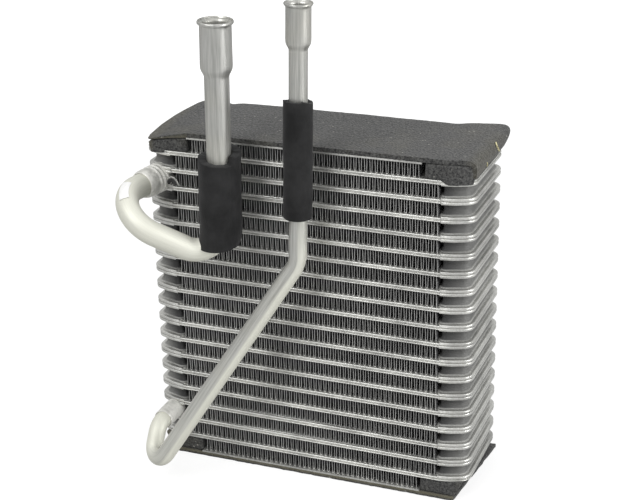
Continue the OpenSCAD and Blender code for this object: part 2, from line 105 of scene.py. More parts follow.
def pipeStreaks(tree, scale, detail):
    where = stored(tree, "alongPipe", "Vector")
    stretched = addNode(tree, "Mapping", {"Vector": where, "Scale": scale})
    return grain(tree, stretched.outputs["Vector"], 1, detail, 0.6)


def grain(tree, vector, scale, detail, rough):
    return addNode(tree, "TexNoise", {"Vector": vector, "Scale": scale, "Detail": detail,
                                      "Roughness": rough}).outputs["Fac"]


def ramp(tree, value, stops):
    r = addNode(tree, "ValToRGB", {"Fac": value})
    for e, (at, colour) in zip(r.color_ramp.elements, stops):
        e.position = at
        e.color = (*colour, 1)
    return r.outputs["Color"]


def span(tree, value, low, high, fromLow=0.0, fromHigh=1.0):
    return addNode(tree, "MapRange", {"Value": value, "From Min": fromLow, "From Max": fromHigh,
                                      "To Min": low, "To Max": high}).outputs["Result"]


def mixColour(tree, amount, a, b, how="MIX"):
    m = addNode(tree, "Mix")
    m.data_type = "RGBA"
    m.blend_type = how
    return plug(tree, m, {"Factor": amount, "A": a, "B": b}).outputs["Result"]


def reckon(tree, kind, operation, *values):
    m = addNode(tree, kind)
    m.operation = operation
    return plug(tree, m, dict(enumerate(values))).outputs["Value"]


def bump(tree, skin, height, strength, distance):
    b = addNode(tree, "Bump", {"Height": height, "Strength": strength, "Distance": distance})
    plug(tree, skin, {"Normal": b.outputs["Normal"]})


# materials: a grain is its scale, detail and roughness, tones are a ramp's stops, a bump is
# its strength and height in metres
white, black = (1, 1, 1), (0, 0, 0)
plateLook = {
    "cloud": (38, 4, 0.55), "tones": [(0.3, (0.52, 0.52, 0.50)), (0.62, (0.78, 0.78, 0.75))],
    "fine": (900, 3, 0.6), "specks": [(0.38, (0.72, 0.72, 0.70)), (0.6, white)],
    # the painted shade on the cup walls: its strength and its dark colour come next
    "speckShare": 0.6, "stain": 0.97, "shadeTone": (0.022, 0.022, 0.023),
    # unshaded, and under painted shade
    "rough": (0.42, 0.8), "metal": (0.85, 0.1), "bump": (0.25, 0.00025)}


def plateAluminium(look):
    mat, tree, skin = newMaterial("plateAluminium")
    v = objectSpace(tree)
    fine = grain(tree, v, *look["fine"])
    colour = ramp(tree, grain(tree, v, *look["cloud"]), look["tones"])
    speck = ramp(tree, fine, look["specks"])
    colour = mixColour(tree, look["speckShare"], colour, speck, "MULTIPLY")
    # painted shade darkens the cups' recessed walls beside the fins and under the bands
    mark = stored(tree, "stain")
    shadeShare = span(tree, mark, 0.0, look["stain"])
    plug(tree, skin, {"Base Color": mixColour(tree, shadeShare, colour, look["shadeTone"]),
                      "Roughness": span(tree, mark, *look["rough"]),
                      "Metallic": span(tree, mark, *look["metal"])})
    bump(tree, skin, fine, *look["bump"])
    return mat


finLook = {
    "cloud": (60, 3, 0.5), "tones": [(0.3, (0.44, 0.44, 0.43)), (0.65, (0.68, 0.68, 0.66))],
    # a wave texture repeats every waveStep over its scale
    "louvreGap": 0.0011, "waveStep": 0.31416, "louvres": [(0.1, (0.55, 0.55, 0.55)), (0.6, white)],
    # deep is painted shade over the fins' walls, except within frontBand of the core's faces
    "louvreShare": 0.8, "deep": (0.18, 0.18, 0.185), "frontBand": (0.0346, 0.0362),
    "rough": 0.42, "metal": 0.5, "bump": (0.5, 0.0004)}


def finAluminium(look):
    mat, tree, skin = newMaterial("finAluminium")
    v = objectSpace(tree)
    louvres = addNode(tree, "TexWave", {"Vector": v, "Scale": look["waveStep"] / look["louvreGap"],
                                        "Distortion": 0.0})
    louvres.bands_direction = "Y"
    louvres.wave_profile = "SIN"
    lines = louvres.outputs["Fac"]
    colour = ramp(tree, grain(tree, v, *look["cloud"]), look["tones"])
    shade = ramp(tree, lines, look["louvres"])
    colour = mixColour(tree, look["louvreShare"], colour, shade, "MULTIPLY")
    # the strip's cut edges keep their bright tone, and its louvred walls behind them get painted shade
    apart = addNode(tree, "SeparateXYZ", {"Vector": v})
    away = reckon(tree, "Math", "ABSOLUTE", apart.outputs["Y"])
    bright = span(tree, away, 0.0, 1.0, *look["frontBand"])
    plug(tree, skin, {"Base Color": mixColour(tree, bright, look["deep"], colour),
                      "Roughness": look["rough"], "Metallic": look["metal"]})
    bump(tree, skin, lines, *look["bump"])
    return mat


pipeLook = {
    "streaks": ((5, 5, 0.25), 3),
    "tones": [(0.32, (0.41, 0.415, 0.395)), (0.6, (0.60, 0.60, 0.575))],
    "cloud": (30, 3, 0.5), "warmth": [(0.45, white), (0.75, (1.0, 0.985, 0.93))],
    "drawn": ((22, 22, 0.5), 2), "drawnLines": [(0.35, (0.86, 0.86, 0.85)), (0.6, white)],
    "lineShare": 0.7, "fine": (1400, 2, 0.6), "pale": (0.78, 0.78, 0.69), "paleLines": 0.5,
    # as drawn, and where brazing and painted light have made it pale
    "rough": (0.38, 0.6), "metal": (0.78, 0.35), "bump": (0.16, 0.0002)}


def pipeAluminium(look):
    mat, tree, skin = newMaterial("pipeAluminium")
    drawn = pipeStreaks(tree, *look["drawn"])
    v = objectSpace(tree)
    colour = ramp(tree, pipeStreaks(tree, *look["streaks"]), look["tones"])
    warm = ramp(tree, grain(tree, v, *look["cloud"]), look["warmth"])
    colour = mixColour(tree, look["lineShare"], colour, warm, "MULTIPLY")
    lines = ramp(tree, drawn, look["drawnLines"])
    colour = mixColour(tree, look["lineShare"], colour, lines, "MULTIPLY")
    # brazing has left the pipe pale and dull towards its port, and painted light pales the side that faces
    # the lamps and floor further along
    mark = stored(tree, "brazed")
    tinge = mixColour(tree, look["paleLines"], look["pale"], lines, "MULTIPLY")
    plug(tree, skin, {"Base Color": mixColour(tree, mark, colour, tinge),
                      "Roughness": span(tree, mark, *look["rough"]),
                      "Metallic": span(tree, mark, *look["metal"])})
    bump(tree, skin, mixColour(tree, 0.5, drawn, grain(tree, v, *look["fine"])), *look["bump"])
    return mat


collarLook = {
    "cloud": (160, 4, 0.6), "tones": [(0.34, (0.60, 0.595, 0.56)), (0.6, (0.86, 0.855, 0.81))],
    "rough": (0.68, 0.52, 0.3, 0.7), "metal": 0.5, "fine": (1500, 3, 0.6),
    "bump": (0.4, 0.0004)}


def collarAluminium(look):
    mat, tree, skin = newMaterial("collarAluminium")
    v = objectSpace(tree)
    cloud = grain(tree, v, *look["cloud"])
    plug(tree, skin, {"Base Color": ramp(tree, cloud, look["tones"]),
                      "Roughness": span(tree, cloud, *look["rough"]), "Metallic": look["metal"]})
    bump(tree, skin, grain(tree, v, *look["fine"]), *look["bump"])
    return mat


packingLook = {
    "fine": (650, 3, 0.75),
    "tones": [(0.37, (0.017, 0.017, 0.018)), (0.63, (0.098, 0.098, 0.094))],
    "cloud": (22, 4, 0.6), "dustyAndLit": [(0.52, black), (0.72, white)], "dustShare": 0.25,
    "dust": (0.13, 0.12, 0.082), "specks": 260, "speckSize": [(0.10, white), (0.17, black)],
    "patches": (70, 2, 0.5), "patchSize": [(0.55, black), (0.62, white)],
    "speck": (0.32, 0.31, 0.28), "cells": 700, "bump": (0.55, 0.0006),
    "surface": {"Roughness": 0.92, "Specular IOR Level": 0.25, "Sheen Weight": 0.15}}


def packingFoam(look):
    mat, tree, skin = newMaterial("packingFoam")
    v = objectSpace(tree)
    colour = ramp(tree, grain(tree, v, *look["fine"]), look["tones"])
    dustyAndLit = span(tree, ramp(tree, grain(tree, v, *look["cloud"]), look["dustyAndLit"]), 0, look["dustShare"])
    # pale brown from a dusting, and from painted highlight along lit cut edges
    for share in (dustyAndLit, stored(tree, "dust")):
        colour = mixColour(tree, share, colour, look["dust"])
    specks = addNode(tree, "TexVoronoi", {"Vector": v, "Scale": look["specks"]})
    dots = ramp(tree, specks.outputs["Distance"], look["speckSize"])
    some = ramp(tree, grain(tree, v, *look["patches"]), look["patchSize"])
    dots = mixColour(tree, 1.0, dots, some, "MULTIPLY")
    plug(tree, skin, {"Base Color": mixColour(tree, dots, colour, look["speck"]), **look["surface"]})
    cells = addNode(tree, "TexVoronoi", {"Vector": v, "Scale": look["cells"]})
    bump(tree, skin, cells.outputs["Distance"], *look["bump"])
    return mat


plainLooks = {
    "sleeveFoam": {"cloud": (60, 4, 0.6),
                   "tones": [(0.35, (0.0045, 0.0045, 0.0048)), (0.68, (0.0175, 0.0175, 0.018))],
                   "surface": {"Roughness": 0.8, "Specular IOR Level": 0.3, "Sheen Weight": 0.08},
                   "fine": (1100, 3, 0.6), "bump": (0.4, 0.0004)},
    "barePaper": {"cloud": (900, 3, 0.6),
                  "tones": [(0.3, (0.80, 0.80, 0.79)), (0.7, (0.88, 0.88, 0.87))],
                  "surface": {"Roughness": 0.55}, "fine": (900, 3, 0.6), "bump": (0.1, 0.0001)},
    "dryThread": {"cloud": (700, 3, 0.6),
                  "tones": [(0.3, (0.42, 0.38, 0.20)), (0.7, (0.62, 0.58, 0.36))],
                  "surface": {"Roughness": 0.7}}}


def plainMaterial(name):
    look = plainLooks[name]
    mat, tree, skin = newMaterial(name)
    v = objectSpace(tree)
    colour = ramp(tree, grain(tree, v, *look["cloud"]), look["tones"])
    plug(tree, skin, {"Base Color": colour, **look["surface"]})
    if "bump" in look:
        bump(tree, skin, grain(tree, v, *look["fine"]), *look["bump"])
    return mat


plateMetal = plateAluminium(plateLook)
finMetal = finAluminium(finLook)
pipeMetal = pipeAluminium(pipeLook)
collarMetal = collarAluminium(collarLook)
packing = packingFoam(packingLook)
sleeveSkin = plainMaterial("sleeveFoam")
paper = plainMaterial("barePaper")
threadSkin = plainMaterial("dryThread")
print("materials ready")


def dress(obj, mat):
    obj.data.materials.clear()
    obj.data.materials.append(mat)


# the CAD's nodes are dressed by a word in their names, and the rest is packing
nodeSkins = {"tube": plateMetal, "end": plateMetal, "row": finMetal, "collar": collarMetal,
             "sleeve": sleeveSkin, "pipe": pipeMetal, "label": paper}
for name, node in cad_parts.items():
    skins = [nodeSkins[word] for word in name.split("_") if word in nodeSkins]
    dress(node, skins[0] if skins else packing)


# modelling helpers
def clamp(t):
    return max(0.0, min(1.0, t))


def wave(x, y, z):
    return noise.noise(Vector((x, y, z)))


def only(obj):
    bpy.ops.object.select_all(action="DESELECT")
    obj.select_set(True)
    bpy.context.view_layer.objects.active = obj


def settle():
    bpy.ops.object.transform_apply(location=True, rotation=True, scale=True)


def editing(obj):
    only(obj)
    bpy.ops.object.mode_set(mode="EDIT")
    bpy.ops.mesh.select_mode(type="VERT")
    takeAll()


def objecting():
    bpy.ops.object.mode_set(mode="OBJECT")


def takeAll():
    bpy.ops.mesh.select_all(action="SELECT")


def outward():
    takeAll()
    bpy.ops.mesh.normals_make_consistent(inside=False)


def faceOutward(obj):
    editing(obj)
    outward()
    objecting()


def push(way, steps=1):
    for k in range(steps):
        bpy.ops.mesh.extrude_region_move(TRANSFORM_OT_translate={"value": Vector(way) / steps})


def grow(factor, centre):
    bpy.ops.transform.resize(value=(factor, factor, factor), center_override=centre)


def pick(obj, kind, test):
    # selects the faces, edges or verts of the object in edit mode for which test holds
    bpy.ops.mesh.select_mode(type={"faces": "FACE", "edges": "EDGE", "verts": "VERT"}[kind])
    bm = bmesh.from_edit_mesh(obj.data)
    for group in (bm.verts, bm.edges, bm.faces):
        for part in group:
            part.select_set(False)
    bm.select_flush(False)
    for part in getattr(bm, kind):
        if test(part):
            part.select_set(True)
    bm.select_flush_mode()
    bmesh.update_edit_mesh(obj.data)


def ring(sides, radius, at, heading, fill="NOTHING"):
    # a circle round a point in mm, square to a heading
    bpy.ops.mesh.primitive_circle_add(vertices=sides, radius=radius * mm, fill_type=fill,
                                      location=at * mm,
                                      rotation=heading.to_track_quat("Z", "Y").to_euler())
    settle()
    return bpy.context.object


def grid(across, deep):
    bpy.ops.mesh.primitive_grid_add(x_subdivisions=across, y_subdivisions=deep, size=2)
    return bpy.context.object


def applyModifiers(obj):
    only(obj)
    for m in list(obj.modifiers):
        bpy.ops.object.modifier_apply(modifier=m.name)


def thicken(obj, thickness, offset=-1, soften=None):
    # gives a sheet its thickness, and softens its cut edges by a width in steps
    sheet = obj.modifiers.new("sheet", "SOLIDIFY")
    sheet.thickness = thickness * mm
    sheet.offset = offset
    if soften:
        edge = obj.modifiers.new("cutEdge", "BEVEL")
        edge.width = soften[0] * mm
        edge.segments = soften[1]
        edge.limit_method = "ANGLE"
        edge.angle_limit = math.radians(50)
    applyModifiers(obj)


def copyOf(obj):
    twin = obj.copy()
    twin.data = obj.data.copy()
    bpy.context.collection.objects.link(twin)
    return twin


def store(obj, name, value):
    # keeps value(vertex) on each vertex of the object, for its finish to read
    kept = obj.data.attributes.new(name, "FLOAT", "POINT")
    for i, v in enumerate(obj.data.vertices):
        kept.data[i].value = value(v)


def finish(obj, name, mat, nodesItReplaces=(), smooth=60):
    if bpy.context.mode != "OBJECT":
        objecting()
    only(obj)
    settle()
    obj.name = name
    obj.data.name = name
    dress(obj, mat)
    bpy.ops.object.shade_smooth_by_angle(angle=math.radians(smooth))
    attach(obj, "root")
    if nodesItReplaces:
        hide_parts(*nodesItReplaces)
    obj.select_set(False)
    return obj


# core sizes, as in the part's source
core = {"halfWidth": 93.5, "halfDepth": 38.0, "rows": 19, "finHeight": 9.5, "tube": 3.0,
        "topZ": 238.7}


def rowZ(row):
    return core["topZ"] - row * core["finHeight"] - (row - 1) * core["tube"]


# fin rows
fins = {"fold": 3.6, "lean": 0.28, "crest": 0.62, "wall": 0.26, "depth": 72.0, "endInset": 12.25}


def foldProfile(f):
    # one fold of the strip from its low crest to the next, as x, z pairs in mm
    h = core["finHeight"] - f["wall"]
    r = f["crest"]
    half = f["fold"] / 2
    flat = half - f["lean"] - 2 * r * 0.75
    pts = []
    for side in (0, 1):
        x0 = side * half
        foot = x0 + flat
        low = [(x0, 0.0), (foot, 0.0), (foot + 0.45 * r, 0.18 * r), (foot + 0.75 * r, 0.75 * r),
               (foot + 0.75 * r + f["lean"], h - 0.75 * r), (foot + 1.05 * r + f["lean"], h - 0.18 * r)]
        pts += [(x, h - z) if side else (x, z) for x, z in low]
    return pts


def foldStrip(f, folds):
    profile = foldProfile(f)
    bpy.ops.mesh.primitive_plane_add(size=1, location=(0, 0, 0))
    strip = bpy.context.object
    edge = profile[1][0] * mm
    strip.scale = (edge, f["depth"] * mm, 1)
    settle()
    editing(strip)
    bpy.ops.transform.translate(value=(edge / 2, 0, 0))
    pick(strip, "edges", lambda e: all(abs(v.co.x - edge) < 1e-7 for v in e.verts))
    for (xa, za), (xb, zb) in zip(profile[1:], profile[2:] + [(f["fold"], 0.0)]):
        push(((xb - xa) * mm, 0, (zb - za) * mm))
    objecting()
    row = strip.modifiers.new("row", "ARRAY")
    row.count = folds
    row.use_relative_offset = False
    row.use_constant_offset = True
    row.constant_offset_displace = (f["fold"] * mm, 0, 0)
    row.use_merge_vertices = True
    row.merge_threshold = 0.00005
    thicken(strip, f["wall"], 1)
    faceOutward(strip)
    return strip


def addFinRows(f):
    for outer in (True, False):
        inset = f["endInset"] if outer else 0
        room = 2 * (core["halfWidth"] - inset) - 0.8
        folds = int(room // f["fold"])
        strip = foldStrip(f, folds)
        rows = (1, core["rows"]) if outer else range(2, core["rows"])
        for n in rows:
            piece = copyOf(strip)
            rng = random.Random(40 + n)
            shift = rng.uniform(-0.3, 0.3) if not outer else 0
            piece.location = ((-folds * f["fold"] / 2 + shift) * mm, 0, rowZ(n) * mm)
            only(piece)
            settle()
            # legs are a little out of true, as folded and brazed strip is
            for v in piece.data.vertices:
                wob = wave(v.co.x * 260, n * 7.3, 0.5)
                v.co.x += 0.16 * mm * wob * (0.4 + abs(v.co.z / mm - rowZ(n) - 4.7) / 9.5)
            finish(piece, "finRow%02d" % n, finMetal, ["fin_row_%02d" % n], smooth=50)
        bpy.data.objects.remove(strip)
    print("fin rows folded")


addFinRows(fins)


# stamped plates, brazed in pairs
plates = {
    "chamferRun": 15.89, "sideHalf": 31.6, "frontSoft": 5.36, "cornerSoft": 5.6, "rearSoft": 9.0,
    "bandStart": 94.0,
    # corners of a cup's foot, with the length that each is rounded over
    "cupPlan": [(91.2, -38.0, 7.4), (113.15, -30.6, 5.2), (113.15, 36.4, 7.4), (91.2, 36.4, 7.0)],
    "cupFoot": 1.4,
    # a cup's wall carries painted shade from its fin end, at darkFrom, out to clearFrom along x
    "darkFrom": 98.0, "clearFrom": 115.0, "leastShade": {1: 0.7, -1: 0.55}, "shadeFrom": 90.0,
    # height over the seam where the wall starts, and where its painted shade is full
    "wall": (2.4, 2.6),
    # inset from the lip's edge and climb, in mm, step by step away from the lip's fullest line
    "lipUp": [(0.05, 0.25), (0.16, 0.2), (0.34, 0.14), (0.5, 0.01)],
    "lipDown": [(0.05, 0.18), (0.2, 0.15), (0.75, 0.1), (0.05, 0.47)],
    "bandUp": [(0.02, 0.55), (0.06, 0.3), (0.18, 0.24), (0.32, 0.16), (0.5, 0.05), (1.2, 0.02)],
    "bandDown": [(0.03, 0.35), (0.1, 0.28), (0.18, 0.17)],
    "cupUp": [(0.02, 0.65), (0.5, 0.1), (0.7, 0.35), (0.7, 0.6), (0.55, 0.75), (0.4, 0.95),
              (0.2, 1.44)],
    "cupRim": 0.25, "cupRimDown": 4.6, "waves": (0.10, 0.12)}


def plateOutline(p):
    bpy.ops.mesh.primitive_plane_add(size=1)
    face = bpy.context.object
    reach = core["halfWidth"] + p["frontSoft"]
    outmost = (reach + p["chamferRun"] - 0.01) * mm
    rearmost = (core["halfDepth"] - 0.01) * mm

    def atReach(v):
        return abs(abs(v.co.x) - reach * mm) < 1e-6
    face.scale = (2 * reach * mm, 2 * core["halfDepth"] * mm, 1)
    settle()
    editing(face)
    for side in (1, -1):
        pick(face, "edges", lambda e: all(abs(v.co.x - side * reach * mm) < 1e-6 for v in e.verts))
        push((side * p["chamferRun"] * mm, 0, 0))
        pick(face, "verts", lambda v: v.co.x * side > outmost and v.co.y < 0)
        bpy.ops.transform.translate(value=(0, (core["halfDepth"] - p["sideHalf"]) * mm, 0))
    pick(face, "edges", lambda e: all(atReach(v) for v in e.verts)
         and abs(e.verts[0].co.y - e.verts[1].co.y) > 0.01)
    bpy.ops.mesh.dissolve_edges(use_verts=False)
    pick(face, "verts", lambda v: atReach(v) and v.co.y > 0)
    bpy.ops.mesh.dissolve_verts()
    for chosen, soft, steps in (
            (atReach, p["frontSoft"], 4),
            (lambda v: abs(v.co.x) > outmost and v.co.y < 0, p["cornerSoft"], 6),
            (lambda v: abs(v.co.x) > outmost and v.co.y > rearmost, p["rearSoft"], 6)):
        pick(face, "verts", chosen)
        bpy.ops.mesh.bevel(offset=soft * mm, segments=steps, affect="VERTICES")
    objecting()
    return face


def climb(steps):
    for inward, up in steps:
        bpy.ops.mesh.inset(thickness=inward * mm, depth=up * mm, use_even_offset=True)


def liftFace(obj, downSteps, upSteps, fullest):
    # turns a flat outline into a closed form whose fullest line is at z = fullest
    editing(obj)
    outward()
    bpy.ops.transform.translate(value=(0, 0, fullest * mm))
    if bmesh.from_edit_mesh(obj.data).faces[0].normal.z < 0:
        bpy.ops.mesh.flip_normals()
    bpy.ops.mesh.duplicate()
    bpy.ops.mesh.flip_normals()
    climb(downSteps)
    pick(obj, "faces", lambda f: len(f.verts) > 8 and f.normal.z > 0.9)
    climb(upSteps)
    objecting()


def closeSeams(obj, gap=0.000002):
    editing(obj)
    bpy.ops.mesh.remove_doubles(threshold=gap)
    outward()
    objecting()


def joinedTo(target, others):
    bpy.ops.object.select_all(action="DESELECT")
    for o in others:
        o.select_set(True)
    target.select_set(True)
    bpy.context.view_layer.objects.active = target
    bpy.ops.object.join()
    return target


def plateHalf(p):
    # upper plate of a tube without its tanks, seam at z = 0
    sheet = plateOutline(p)
    liftFace(sheet, p["lipDown"], p["lipUp"], 0.9)
    closeSeams(sheet)
    return sheet


def tankEnd(p, side, start):
    end = plateOutline(p)
    editing(end)
    bpy.ops.mesh.bisect(plane_co=(side * start * mm, 0, 0), plane_no=(side, 0, 0), clear_inner=True)
    # the outline's points close to the cut would cross while it is inset
    pick(end, "verts", lambda v: 0.5 < side * v.co.x / mm - start < 5)
    bpy.ops.mesh.dissolve_verts()
    objecting()
    return end


def bandHalf(p, side):
    # the drawn flange round a tank's end, from the seam at z = 0 up to its flat
    band = tankEnd(p, side, p["bandStart"])
    liftFace(band, p["bandDown"], p["bandUp"], 1.0)
    closeSeams(band)
    return band


def cupHalf(p, side):
    # the cup's wall, from the flange up to the middle of the fin row, open at its top
    bpy.ops.mesh.primitive_circle_add(vertices=4, radius=0.02, fill_type="NGON")
    cup = bpy.context.object
    order = p["cupPlan"] if side > 0 else p["cupPlan"][::-1]
    for v, (x, y, soft) in zip(cup.data.vertices, order):
        v.co = Vector((side * x, y, p["cupFoot"])) * mm
    editing(cup)
    outward()
    if bmesh.from_edit_mesh(cup.data).faces[0].normal.z < 0:
        bpy.ops.mesh.flip_normals()
    for x, y, soft in p["cupPlan"]:
        pick(cup, "verts", lambda v: (v.co / mm - Vector((side * x, y, p["cupFoot"]))).length < 0.01)
        bpy.ops.mesh.bevel(offset=soft * mm, segments=7, affect="VERTICES")
    takeAll()
    climb(p["cupUp"])
    bpy.ops.mesh.inset(thickness=p["cupRim"] * mm, depth=0)
    push((0, 0, -p["cupRimDown"] * mm))
    objecting()
    closeSeams(cup)
    return cup


def shadeCups(tube, p, seam):
    # painted shade on the recessed cup walls, darkest beside the fins
    def stain(v):
        x, y, z = v.co / mm
        least = p["leastShade"][1 if x > 0 else -1]
        near = 1 - clamp((abs(x) - p["darkFrom"]) / (p["clearFrom"] - p["darkFrom"]))
        low, full = p["wall"]
        onWall = clamp((abs(z - seam) - low) / (full - low)) * clamp((abs(x) - p["shadeFrom"]) * 2)
        return onWall * (least + (1 - least) * near)
    store(tube, "stain", stain)


def turnedOver(obj):
    twin = copyOf(obj)
    editing(twin)
    bpy.ops.transform.mirror(constraint_axis=(False, False, True), center_override=(0, 0, 0))
    outward()
    objecting()
    return twin


ports = {
    "suction": {"at": (-105.0, -34.0, 208.25), "towards": (-0.199368, -0.979925, 0), "collar": 10.0,
                "tubes": (2, 3)},
    "liquid": {"at": (-102.5, -34.0, 33.95), "towards": (0, -1, 0), "collar": 6.9, "tubes": (16, 17)}}


def cutForCollar(obj, port):
    aim = Vector(port["towards"])
    bpy.ops.mesh.primitive_cylinder_add(vertices=48, radius=(port["collar"] + 0.05) * mm, depth=40 * mm,
                                        location=Vector(port["at"]) * mm + aim * 11 * mm,
                                        rotation=aim.to_track_quat("Z", "Y").to_euler())
    cutter = bpy.context.object
    hole = obj.modifiers.new("hole", "BOOLEAN")
    hole.object = cutter
    hole.solver = "EXACT"
    hole.use_self = True
    applyModifiers(obj)
    bpy.data.objects.remove(cutter)


def addTubes(p):
    count = core["rows"] - 1
    sheet = plateHalf(p)
    bands = [bandHalf(p, 1), bandHalf(p, -1)]
    cups = [cupHalf(p, 1), cupHalf(p, -1)]
    for n in range(1, count + 1):
        halves = []
        for upper in (True, False):
            parts = [copyOf(sheet)]
            if n > 1 if upper else n < count:
                parts += [copyOf(e) for e in bands + cups]
            half = joinedTo(parts[0], parts[1:])
            if not upper:
                low = turnedOver(half)
                bpy.data.objects.remove(half)
                half = low
            halves.append(half)
        tube = joinedTo(halves[0], halves[1:])
        tube.location = (0, 0, (rowZ(n) - core["tube"] / 2) * mm)
        settle()
        # stamped sheet is never dead true
        for v in tube.data.vertices:
            up, aside = p["waves"]
            v.co.z += up * mm * wave(v.co.x * 25, v.co.y * 25, n * 3.1)
            v.co.y += aside * mm * wave(v.co.x * 22, n * 5.7, 4.0)
        for port in ports.values():
            if n in port["tubes"]:
                cutForCollar(tube, port)
        # painted shade on its cup walls
        shadeCups(tube, p, rowZ(n) - core["tube"] / 2)
        finish(tube, "flatTube%02d" % n, plateMetal, ["flat_tube_%02d" % n], smooth=38)
    for spare in [sheet] + bands + cups:
        bpy.data.objects.remove(spare)
    print("plates stamped and paired")


addTubes(plates)


# pipes
def alongRoute(corners, radii, step=1.0):
    # points along a route in mm with their direction and distance run
    pts = [Vector(c) for c in corners]
    out, run, here = [], 0.0, pts[0]

    def line(a, b):
        nonlocal run
        n = max(1, int((b - a).length / step))
        for i in range(n):
            out.append((a + (b - a) * i / n, (b - a).normalized(), run + (b - a).length * i / n))
        run += (b - a).length
    for i in range(1, len(pts) - 1):
        bend = bendAt(pts[i - 1], pts[i], pts[i + 1], radii[i - 1])
        line(here, bend["start"])
        n = max(6, int(bend["turn"] * radii[i - 1] / step))
        for k in range(n):
            r = Matrix.Rotation(bend["turn"] * k / n, 3, bend["axis"])
            out.append((bend["centre"] + r @ (bend["start"] - bend["centre"]), r @ bend["heading"],
                        run + bend["turn"] * radii[i - 1] * k / n))
        run += bend["turn"] * radii[i - 1]
        here = bend["stop"]
    line(here, pts[-1])
    out.append((pts[-1], (pts[-1] - here).normalized(), run))
    return out


def bendAt(a, b, c, radius):
    u, w = (a - b).normalized(), (c - b).normalized()
    half = u.angle(w) / 2
    back = radius / math.tan(half)
    return {"start": b + u * back, "stop": b + w * back, "heading": -u, "turn": math.pi - 2 * half,
            "centre": b + (u + w).normalized() * radius / math.sin(half),
            "axis": (-u).cross(w).normalized()}


def markAlong(obj, corners, radii):
    # stores each vertex's place round the pipe and along it in cm, so that a finish can follow it
    route = alongRoute(corners, radii)
    frames, normal = [], None
    for at, heading, run in route:
        if normal is None:
            normal = heading.orthogonal().normalized()
        normal = (normal - heading * normal.dot(heading)).normalized()
        frames.append((at, heading, normal, heading.cross(normal), run))
    data = obj.data.attributes.new("alongPipe", "FLOAT_VECTOR", "POINT")
    for i, v in enumerate(obj.data.vertices):
        co = v.co / mm
        at, heading, normal, side, run = min(frames, key=lambda f: (co - f[0]).length_squared)
        away = co - at
        angle = math.atan2(away.dot(side), away.dot(normal))
        data.data[i].vector = (math.cos(angle), math.sin(angle), (run + away.dot(heading)) / 10)


def drawPipe(p):
    pts = [Vector(c) for c in p["corners"]]
    pipe = ring(p["sides"], p["radius"], pts[0], (pts[1] - pts[0]).normalized())
    editing(pipe)
    here = pts[0]
    for i in range(1, len(pts) - 1):
        bend = bendAt(pts[i - 1], pts[i], pts[i + 1], p["bends"][i - 1])
        push((bend["start"] - here) * mm, p["lengths"])
        bpy.ops.mesh.spin(steps=p["bendSteps"], angle=-bend["turn"], center=bend["centre"] * mm,
                          axis=bend["axis"])
        here = bend["stop"]
    up = (pts[-1] - pts[-2]).normalized()
    socketStart = pts[-1] - up * p["socket"][0][0]
    push((socketStart - here) * mm, 3 * p["lengths"])
    size = p["radius"]
    at = p["socket"][0][0]
    for below, radius in p["socket"][1:]:
        push(up * (at - below) * mm)
        grow(radius / size, (pts[-1] - up * below) * mm)
        at, size = below, radius
    objecting()
    return pipe


paleFade = {"facing": (0.12, 0.26), "near": 30, "far": 60}


def brazeAndLightPipe(pipe, h):
    # pale from brazing in full up to "to" along the pipe, then painted light on the side that faces "side"
    # up to "sideTo"
    run = [m.vector.z * 10 for m in pipe.data.attributes["alongPipe"].data]
    low, full = paleFade["facing"]

    def brazeAndLitSide(v):
        at = run[v.index]
        facing = clamp((v.normal.dot(Vector(h["side"])) - low) / (full - low))
        further = h["rest"] + (h["most"] - h["rest"]) * facing
        further *= clamp((h["sideTo"] - at) / paleFade["far"])
        near = clamp((h["to"] - at) / paleFade["near"])
        return h["most"] * near + further * (1 - near)
    store(pipe, "brazed", brazeAndLitSide)


def addPipe(p):
    pipe = drawPipe(p)
    closeSeams(pipe, 0.000001)
    # bends are pressed a little oval
    for corner, mid in enumerate(p["bends"]):
        bend = bendAt(*[Vector(c) for c in p["corners"][corner:corner + 3]], mid)
        spoke = bend["start"] - bend["centre"]
        for v in pipe.data.vertices:
            away = v.co / mm - bend["centre"]
            aside = away.dot(bend["axis"])
            flat = away - bend["axis"] * aside
            if flat.length < mid + p["radius"] + 1 and abs(aside) < p["radius"] + 1:
                turned = spoke.angle(flat) if flat.length > 0 else 0
                if spoke.cross(flat).dot(bend["axis"]) > 0 and turned < bend["turn"]:
                    s = math.sin(math.pi * turned / bend["turn"])
                    v.co += flat.normalized() * (mid - flat.length) * p["oval"] * s * mm
    thicken(pipe, p["wall"])
    markAlong(pipe, p["corners"], p["bends"])
    # pale from brazing near the port, and painted light on one side
    brazeAndLightPipe(pipe, p["brazeAndLitSide"])
    return finish(pipe, p["name"], pipeMetal, [p["node"]], smooth=50)


suction = {
    "name": "suctionPipe", "node": "suction_pipe", "radius": 8.0, "wall": 1.2, "sides": 56,
    "corners": [(-104.402, -31.06, 208.25), (-118.557, -100.635, 208.25), (-47.4, -63.0, 164.4),
                (-44.557, -63.0, 327.3)],
    "bends": [23, 16], "lengths": 2, "bendSteps": 26, "oval": 0.05,
    # pale from brazing near the port, and painted light on the side that faces "side"
    "brazeAndLitSide": {"to": 120, "side": (0.6, -0.7, 0.3), "rest": 0.45, "most": 0.85, "sideTo": 190},
    # distance below the mouth and radius, up the socket
    "socket": [(37.1, 8.0), (36.1, 8.0), (35.3, 8.1), (34.3, 8.45), (33.1, 9.1), (31.9, 9.7),
               (30.9, 10.08), (29.7, 10.28), (27.7, 10.36), (20.0, 10.25), (12.0, 10.2),
               (5.0, 10.15), (3.5, 10.15), (2.95, 10.25), (2.5, 10.6), (2.2, 11.15),
               (1.8, 11.5), (1.2, 11.6), (0.6, 11.5), (0.15, 11.2), (0.0, 10.9)]}
